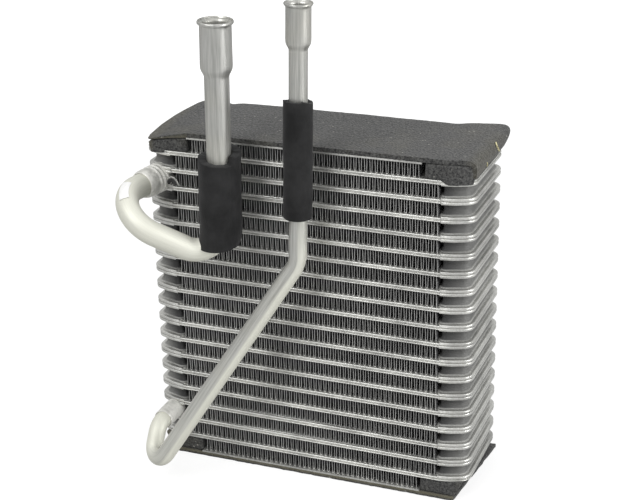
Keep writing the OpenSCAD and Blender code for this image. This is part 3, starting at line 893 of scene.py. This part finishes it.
liquid = {
    "name": "liquidPipe", "node": "liquid_pipe", "radius": 6.0, "wall": 1.0, "sides": 48,
    "corners": [(-102.5, -31.0, 33.95), (-102.5, -62.0, 33.95), (-101.7, -84.6, 1.55),
                (4.5, -58.0, 169.9), (8.978, -58.0, 340.9)],
    "bends": [11, 10, 20], "lengths": 2, "bendSteps": 22, "oval": 0.05,
    # pale from brazing near the port, and painted light on the side that faces "side"
    "brazeAndLitSide": {"to": 76, "side": (0.835, 0.093, -0.542), "rest": 0.1, "most": 0.95, "sideTo": 290},
    "socket": [(29.9, 6.0), (29.2, 6.05), (28.4, 6.3), (27.4, 6.85), (26.4, 7.4), (25.5, 7.78),
               (24.4, 8.0), (22.0, 8.08), (14.0, 8.02), (5.0, 8.0), (3.0, 8.0), (2.4, 8.08),
               (1.95, 8.45), (1.6, 8.85), (1.2, 9.1), (0.75, 9.2), (0.35, 9.12), (0.1, 8.95),
               (0.0, 8.7)]}
addPipe(suction)
addPipe(liquid)
print("pipes bent and flared")


# port collars
collars = [
    {"name": "suctionPortCollar", "node": "suction_port_collar", "port": "suction", "pipe": 8.05,
     # distance out from the port and radius, along the outside
     "turned": [(-9.0, 9.95), (1.2, 10.0), (1.7, 10.0), (2.2, 9.55), (3.2, 9.35), (4.2, 9.6),
                (4.7, 10.0), (5.3, 10.0), (5.8, 9.5), (6.8, 9.3), (7.8, 9.55), (8.3, 10.0),
                (8.9, 10.0), (9.5, 9.6), (10.6, 9.5), (11.5, 9.65), (13.0, 9.8), (15.8, 9.7),
                (17.4, 9.35), (18.4, 8.95), (19.0, 8.6)]},
    {"name": "liquidPortCollar", "node": "liquid_port_collar", "port": "liquid", "pipe": 6.05,
     "turned": [(-9.0, 6.88), (6.0, 6.88), (12.0, 6.86), (19.6, 6.84), (20.6, 6.7), (21.0, 6.4)]}]


def turnCollar(c):
    port = ports[c["port"]]
    aim = Vector(port["towards"])
    turn = aim.to_track_quat("Z", "Y").to_matrix()
    at, size = c["turned"][0]
    last = c["turned"][-1][0]
    bpy.ops.mesh.primitive_circle_add(vertices=48, radius=size * mm, location=(0, 0, at * mm))
    collar = bpy.context.object
    settle()
    editing(collar)
    for out, radius in c["turned"][1:] + [(last + 0.15, c["pipe"] + 0.35), (last - 0.4, c["pipe"]),
                                          (-8.9, c["pipe"])]:
        push((0, 0, (out - at) * mm))
        grow(radius / size, (0, 0, out * mm))
        at, size = out, radius
    pick(collar, "edges", lambda e: e.is_boundary)
    bpy.ops.mesh.bridge_edge_loops()
    outward()
    objecting()
    for v in collar.data.vertices:
        if v.co.z > 0:
            v.co += Vector((v.co.x, v.co.y, 0)).normalized() * 0.12 * mm * noise.noise(v.co * 320)
        v.co = turn @ v.co + Vector(port["at"]) * mm
    return finish(collar, c["name"], collarMetal, [c["node"]], smooth=45)


for c in collars:
    turnCollar(c)
print("collars turned")


# foam sleeves
sleeves = [
    {"name": "suctionFoamSleeve", "node": "suction_foam_sleeve", "on": suction, "outer": 13.8,
     "thick": 5.6, "sides": 72, "below": 0, "length": 46.3, "rings": 22, "under": 11.5,
     "drop": 2.0, "seamAt": -28, "flapRise": 5.4, "flapOut": 0.35, "topSag": 0.3, "topTilt": 1.2},
    {"name": "liquidFoamSleeve", "node": "liquid_foam_sleeve", "on": liquid, "outer": 9.3,
     "thick": 3.2, "sides": 60, "below": 32, "length": 76, "rings": 30, "under": 0,
     "seamAt": 195, "flapRise": 1.8, "flapOut": 0.35, "topSag": 0.3, "topTilt": 0}]


def wrapSleeve(s):
    pts = [Vector(c) for c in s["on"]["corners"][-3:]]
    radius = s["on"]["bends"][-1]
    bend = bendAt(*pts, radius)
    up = (pts[2] - pts[1]).normalized()
    start = pts[1] + up * s["below"] if s["below"] else bend["stop"]
    sleeve = ring(s["sides"], s["outer"], start, up)
    editing(sleeve)
    push(up * s["length"] * mm, s["rings"])
    if s["under"]:
        # the lower end covers the start of the pipe's bend
        pick(sleeve, "edges", lambda e: e.is_boundary and (e.verts[0].co / mm - start).dot(up) < 0.1)
        push(-up * s["under"] * mm, 6)
    objecting()
    aside = (bend["centre"] - bend["stop"]).normalized()
    seam = math.radians(s["seamAt"])

    def about(co):
        # height up the sleeve and what is square to it
        rel = co / mm - start
        height = rel.dot(up)
        return height, rel - up * height
    for v in sleeve.data.vertices:
        height, flat = about(v.co)
        angle = math.atan2(flat.y, flat.x)
        past = (angle - seam) % (2 * math.pi)
        share = clamp(height / s["length"])
        # the sheet's outer end laps over its start and stands a little higher
        lap = 1.0 if past < math.radians(170) else 0.0
        ease = min(1.0, past / math.radians(9)) if lap else 0.0
        v.co += flat.normalized() * (s["flapOut"] * lap * ease) * mm
        if share > 0.8:
            rise = s["flapRise"] * lap * ease * min(1, (math.radians(170) - past) * 1.1)
            v.co += up * (rise + s["topTilt"] * (flat.y - flat.x) / flat.length) * (share - 0.8) * 5 * mm
        if s["under"] and height < 0:
            v.co += aside * (0.4 * radius * (1 - math.cos(math.asin(-height / radius)))) * mm
            v.co += up * height / s["under"] * s["drop"] * clamp(-flat.y / flat.length) * mm
        wobble = noise.noise(v.co * 55) * 0.9 + noise.noise(v.co * 240) * 0.35
        v.co += flat.normalized() * 0.42 * wobble * mm
        if share > 0.96:
            v.co += up * (0.55 * noise.noise(v.co * 300) - s["topSag"] * noise.noise(v.co * 70)) * mm
    editing(sleeve)
    outward()
    # on an open tube these can all point inwards, which would thicken it outwards
    face = bmesh.from_edit_mesh(sleeve.data).faces[0]
    if face.normal.dot(about(face.calc_center_median())[1]) < 0:
        bpy.ops.mesh.flip_normals()
    objecting()
    thicken(sleeve, s["thick"], soften=(0.5, 2))
    # the slit where the sheet's two edges meet
    for v in sleeve.data.vertices:
        flat = about(v.co)[1]
        past = (math.atan2(flat.y, flat.x) - seam + math.pi) % (2 * math.pi) - math.pi
        if flat.length > s["outer"] - 1.5 and abs(past) * s["outer"] < 0.65:
            v.co -= flat.normalized() * 0.5 * mm
    return finish(sleeve, s["name"], sleeveSkin, [s["node"]])


for s in sleeves:
    wrapSleeve(s)
print("sleeves wrapped")


# foam packing
topPad = {
    "left": -112.0, "foldFrom": 107.0, "hang": 17.5, "top": 242.9, "thick": 3.0, "thin": 0.72,
    "fall": 7.0, "fallFrom": -80.95, "across": 120, "deep": 44,
    # the rolled end's section as x, z handles at the front and what is added to x at the rear
    "rolled": [(107.0, 242.9), (116.6, 243.1), (116.3, 238.4), (114.9, 230.8)],
    "rearOut": [0, 2.6, 2.6, 1.4],
    # plan of the cut sheet as distance along it, front y, rear y
    "plan": [(-112.0, -30, -12), (-111.0, -35.5, -2), (-109.6, -38, 6), (-108, -38, 13),
             (-106, -38, 20), (-104.5, -38, 28), (-101.5, -38, 34.5), (-97, -38, 37),
             (-91, -38, 38), (-85.5, -38, 37.4), (-79.5, -38, 35.8), (-70, -38, 36.6),
             (0, -38, 37.3), (82.5, -38, 36.2), (86, -38, 37.9), (91, -38, 40.6),
             (96.5, -38, 42.4), (102, -36.6, 44), (107, -35.4, 45), (112, -34.4, 44.8),
             (116, -33.6, 42), (120, -33, 38), (124.5, -32.4, 31)]}


def acrossPlan(plan, x):
    for (x0, f0, r0), (x1, f1, r1) in zip(plan, plan[1:]):
        if x <= x1:
            t = max(0.0, (x - x0) / (x1 - x0))
            return f0 + (f1 - f0) * t, r0 + (r1 - r0) * t
    return plan[-1][1:]


def padFall(p, x, y):
    # the left end hangs down, most at its front corner
    t = max(0.0, (p["fallFrom"] - x) / (p["fallFrom"] - p["left"]))
    return p["fall"] * clamp((38 - y) / 76) ** 1.1 * t ** 1.1


def layTopPad(p):
    pad = grid(p["across"], p["deep"])
    length = p["foldFrom"] + p["hang"] - p["left"]
    for v in pad.data.vertices:
        s = p["left"] + (v.co.x + 1) / 2 * length
        front, rear = acrossPlan(p["plan"], s)
        depth = (v.co.y + 1) / 2
        y = front + (rear - front) * depth
        x, z = s, p["top"]
        if s > p["foldFrom"]:
            t = (s - p["foldFrom"]) / p["hang"]
            share = [(1 - t) ** 3, 3 * t * (1 - t) ** 2, 3 * t * t * (1 - t), t ** 3]
            x = sum(k * (h[0] + out * depth ** 1.6) for k, h, out in zip(share, p["rolled"], p["rearOut"]))
            z = sum(k * h[1] for k, h in zip(share, p["rolled"])) + 2.2 * depth ** 2 * t
        z -= padFall(p, s, y)
        # the sag towards the rear where the end plate stops
        z -= 1.2 * math.exp(-((s - p["fallFrom"]) / 5.0) ** 2) * depth ** 2
        z += 0.3 * wave(s * 0.045, y * 0.05, 1.3)
        if min(v.co.y + 1, 1 - v.co.y) < 0.01:
            y += 0.4 * wave(s * 0.5, depth * 9, 7.7) + 0.2 * wave(s * 1.7, 3, depth)
        v.co = Vector((x, y, z)) * mm
    thicken(pad, p["thick"], soften=(1.2, 3))
    for v in pad.data.vertices:
        x, y, z = v.co / mm
        if x < p["fallFrom"]:
            # pressed thin towards its left end
            top = p["top"] - padFall(p, x, y)
            v.co.z += (top - z) * p["thin"] * min(1.0, (p["fallFrom"] - x) / 28) * mm
        v.co.z += 0.10 * mm * noise.noise(v.co * 420)

    def dustyAndLit(x, y, z):
        rolledEnd = 0.26 * clamp((x - 108) / 6) * clamp((16 - y) / 30)
        leftEnd = 0.3 * clamp((-100 - x) / 8)
        # the hanging front's lower cut edge gets painted highlight
        below = clamp(p["top"] - padFall(p, x, y) - 0.7 - z)
        return rolledEnd + leftEnd + 0.7 * clamp((p["fallFrom"] - x) * 2) * clamp((-37 - y) * 2) * below
    dustAndLightOn(pad, dustyAndLit)
    return finish(pad, "topFoamPad", packing, ["top_foam_pad"])


def dustAndLightOn(obj, amount):
    # how much pale brown the foam's finish shows at each place: a dusting, and painted highlight along lit
    # cut edges
    store(obj, "dust", lambda v: amount(*(v.co / mm)))


layTopPad(topPad)

blocks = [
    {"name": "topLeftFoamBlock", "node": "top_left_foam_block", "left": -110.4, "right": -81.6,
     "low": 229.3, "high": 239.8, "under": True, "slant": 0.34, "sag": 2.6,
     "plan": [(-110.4, -37.6, -4), (-108, -37.6, 11), (-105, -37.6, 25), (-101, -37.6, 32),
              (-96, -37.6, 35.6), (-81.6, -37.6, 36.6)]},
    {"name": "topRightFoamBlock", "node": "top_right_foam_block", "left": 83.2, "right": 113.6,
     "low": 229.3, "high": 239.6, "sag": 3.0,
     "plan": [(83.2, -37.6, 35.4), (92, -38.1, 37), (98, -38.6, 37), (104, -37.4, 37),
              (109, -35.2, 36), (113.6, -32.4, 33)]}]
for side, left, right in (("Left", -111.0, -81.6), ("Right", 81.6, 111.0)):
    blocks.append({"name": "bottom%sFoamBlock" % side, "node": "bottom_%s_foam_block" % side.lower(),
                   "left": left, "right": right, "low": 3.1, "high": 13.6, "narrowing": 5.5,
                   "plan": [(left, -36.8, 36.6), (right, -36.8, 36.6)]})


def packBlock(b):
    bpy.ops.mesh.primitive_cube_add(size=1)
    block = bpy.context.object
    lower = Vector((b["left"], -38, b["low"]))
    size = Vector((b["right"] - b["left"], 76, b["high"] - b["low"]))
    block.scale = size * mm
    block.location = (lower + size / 2) * mm
    settle()
    editing(block)
    bpy.ops.mesh.bevel(offset=0.9 * mm, segments=2)
    objecting()
    grit = block.modifiers.new("grit", "REMESH")
    grit.mode = "VOXEL"
    grit.voxel_size = 1.0 * mm
    applyModifiers(block)
    tapered = b.get("narrowing", 0) / size.z
    outer = -1 if b["left"] < 0 else 1
    for v in block.data.vertices:
        v.co += v.normal * (0.16 * noise.noise(v.co * 320) + 0.22 * noise.noise(v.co * 90)) * mm
        x, y, z = v.co / mm
        front, rear = acrossPlan(b["plan"], x)
        depth = (y + 38) / 76
        y = front + (rear - front) * depth
        height = (z - b["low"]) / size.z
        if b.get("under"):
            # its top follows the pad's underside, and its end hangs over the tank's front
            z -= padFall(topPad, x, y) * 0.85 * height
            x += b["slant"] * (235.5 - z) * clamp((-98 - x) / 12) * clamp((235.5 - z) / 2)
        # its lower edge hangs over the front of the tank
        z -= b.get("sag", 0) * (1 - height) * clamp((abs(x) - 93) / 5) * clamp((-28 - y) / 4)
        x -= outer * tapered * size.z * (1 - height) * clamp((abs(x) - 84) / 27)
        v.co = Vector((x, y, z)) * mm
    dustAndLightOn(block, lambda x, y, z: 0.5 * clamp((-106 - x) / 3))
    return finish(block, b["name"], packing, [b["node"]])


for b in blocks:
    packBlock(b)

bottomPad = {"corners": [(-105.5, -38.0), (105.5, -38.0), (114.0, 43.0), (-105.5, 38.0)], "thick": 3.0}


def layBottomPad(p):
    pad = grid(90, 30)
    a, b, c, d = [Vector(corner) for corner in p["corners"]]
    for v in pad.data.vertices:
        s, t = (v.co.x + 1) / 2, (v.co.y + 1) / 2
        x, y = (a * (1 - s) + b * s) * (1 - t) + (d * (1 - s) + c * s) * t
        if min(s, 1 - s, t, 1 - t) < 0.001:
            x += 0.5 * wave(x * 0.4, y * 0.3, 2.1)
            y += 0.5 * wave(x * 0.4, y * 0.3, 8.4)
        v.co = Vector((x, y, p["thick"])) * mm
    thicken(pad, p["thick"], soften=(0.6, 2))
    # paler along the upper half of its front edge
    dustAndLightOn(pad, lambda x, y, z: 0.8 * clamp((-36.6 - y) / 1.2) * clamp((z - 1.6) / 0.8))
    return finish(pad, "bottomFoamPad", packing, ["bottom_foam_pad"])


layBottomPad(bottomPad)
print("foam packed")


# dry threads caught on the pad
threads = [
    {"name": "strayThread1", "radius": 0.5,
     "path": [(116.0, 9.6, 241.9), (117.1, 8.4, 239.9), (117.4, 11.2, 236.8), (117.3, 14.4, 234.4)]},
    {"name": "strayThread2", "radius": 0.35,
     "path": [(115.6, -10.6, 234.9), (115.7, -8.8, 233.4), (115.6, -9.2, 231.8)]}]


def layThread(t):
    pts = [Vector(c) for c in t["path"]]
    thread = ring(10, t["radius"], pts[0], (pts[1] - pts[0]).normalized(), "NGON")
    editing(thread)
    for a, b in zip(pts, pts[1:]):
        push((b - a) * mm, 3)
    outward()
    objecting()
    return finish(thread, t["name"], threadSkin)


for t in threads:
    layThread(t)

# a torn hood of sheet beside the suction collar
hood = {
    "back": (-94.5, -36.9, 205.6), "thick": 0.4,
    "rim": [(-97.4, -38.4, 205.4), (-96.9, -39.6, 208.4), (-95.2, -40.6, 210.9), (-92.4, -41.2, 212.5),
            (-90.0, -41.0, 211.9), (-88.3, -40.2, 209.3), (-87.7, -38.6, 205.4)]}


def tearHood(h):
    tab = grid(len(h["rim"]) - 1, 5)
    back = Vector(h["back"])
    # painted shade inside, none at its rim
    store(tab, "stain", lambda v: clamp((0.95 - (v.co.y + 1) / 2) * 4))
    for v in tab.data.vertices:
        rim = Vector(h["rim"][round((v.co.x + 1) / 2 * (len(h["rim"]) - 1))])
        out = (v.co.y + 1) / 2
        v.co = (back + (rim - back) * (0.12 + 0.88 * out) ** 0.7) * mm
    thicken(tab, h["thick"], 0)
    faceOutward(tab)
    return finish(tab, "tornHood", plateMetal)


tearHood(hood)

# bare label on the elbow
label = {"from": 19, "to": 53, "wrapFrom": 27, "wrapTo": 73, "lift": 0.18, "thick": 0.1}


def stickLabel(p, l):
    pts = [Vector(c) for c in p["corners"][:3]]
    bend = bendAt(*pts, p["bends"][0])
    spokeStart = (bend["start"] - bend["centre"]).normalized()
    sticker = grid(20, 28)
    for v in sticker.data.vertices:
        turn = math.radians(l["from"] + (l["to"] - l["from"]) * (v.co.x + 1) / 2)
        wrap = math.radians(l["wrapFrom"] + (l["wrapTo"] - l["wrapFrom"]) * (v.co.y + 1) / 2)
        spoke = Matrix.Rotation(turn, 3, bend["axis"]) @ spokeStart
        corner = max(abs(v.co.x), abs(v.co.y))
        curl = 0.25 * max(0, corner - 0.85) / 0.15 if v.co.x > 0.5 and v.co.y > 0.5 else 0
        away = p["radius"] + l["lift"] + curl + 0.05 * wave(v.co.x * 3, v.co.y * 3, 1)
        v.co = (bend["centre"] + spoke * (p["bends"][0] + away * math.cos(wrap))
                + bend["axis"] * away * math.sin(wrap)) * mm
    faceOutward(sticker)
    thicken(sticker, l["thick"], 0)
    return finish(sticker, "bareLabel", paper, ["blank_label"])


stickLabel(suction, label)
print("label stuck on")


# floor, backdrop and light
studio = {
    "floor": (0.5, 0.5, 0.5), "rough": 0.9, "reach": 6, "below": 0.0002, "glow": 1.55,
    # share of glow that the camera sees, from and to distances in metres
    "glowShare": (0.52, 0.75, 0.7, 1.0),
    # strength of the air's light from the side up, from and to heights
    "air": (0.5, 1.2, 0.1, 0.9)}


def cameraRay(tree):
    return addNode(tree, "LightPath").outputs["Is Camera Ray"]


def whiteFloor(s):
    bpy.ops.mesh.primitive_circle_add(vertices=64, radius=s["reach"], fill_type="NGON",
                                      location=(0, 0, -s["below"]))
    floor = bpy.context.object
    floor.name = "floor"
    mat, tree, skin = newMaterial("paleFloor")
    plug(tree, skin, {"Base Color": s["floor"], "Roughness": s["rough"]})
    glow = addNode(tree, "Emission", {"Color": white, "Strength": s["glow"]})
    far = span(tree, reckon(tree, "VectorMath", "LENGTH", objectSpace(tree)), *s["glowShare"])
    share = reckon(tree, "Math", "MULTIPLY", cameraRay(tree), far)
    out = skin.outputs[0].links[0].to_node
    mix = addNode(tree, "MixShader", {"Fac": share, 1: skin.outputs[0], 2: glow.outputs[0]})
    plug(tree, out, {"Surface": mix.outputs[0]})
    dress(floor, mat)


def studioAir(s):
    # the camera sees plain white, and the part a sky that is brighter above
    world = bpy.data.worlds.new("studioWorld")
    bpy.context.scene.world = world
    world.use_nodes = True
    tree = world.node_tree
    tree.nodes.clear()
    apart = addNode(tree, "SeparateXYZ", {"Vector": addNode(tree, "TexCoord").outputs["Generated"]})
    air = addNode(tree, "Background", {"Strength": span(tree, apart.outputs["Z"], *s["air"])})
    blank = addNode(tree, "Background", {"Color": white, "Strength": 1.0})
    mix = addNode(tree, "MixShader", {"Fac": cameraRay(tree), 1: air.outputs[0], 2: blank.outputs[0]})
    addNode(tree, "OutputWorld", {"Surface": mix.outputs[0]})


whiteFloor(studio)
studioAir(studio)

lampsAim = (0, 0, 0.15)
lamps = [{"name": "keyLamp", "from": (-0.5, -1.3, 1.3), "size": 0.9, "watts": 13},
         {"name": "sideLamp", "from": (1.6, -0.3, 0.62), "size": 0.6, "watts": 16}]


def softLamp(lamp):
    bpy.ops.object.light_add(type="AREA", location=lamp["from"])
    light = bpy.context.object
    light.name = lamp["name"]
    light.data.size = lamp["size"]
    light.data.energy = lamp["watts"]
    aim = Vector(lampsAim) - Vector(lamp["from"])
    light.rotation_euler = aim.to_track_quat("-Z", "Y").to_euler()
    light.select_set(False)


for lamp in lamps:
    softLamp(lamp)
bpy.context.scene.view_settings.view_transform = "Standard"
print("stage lit")
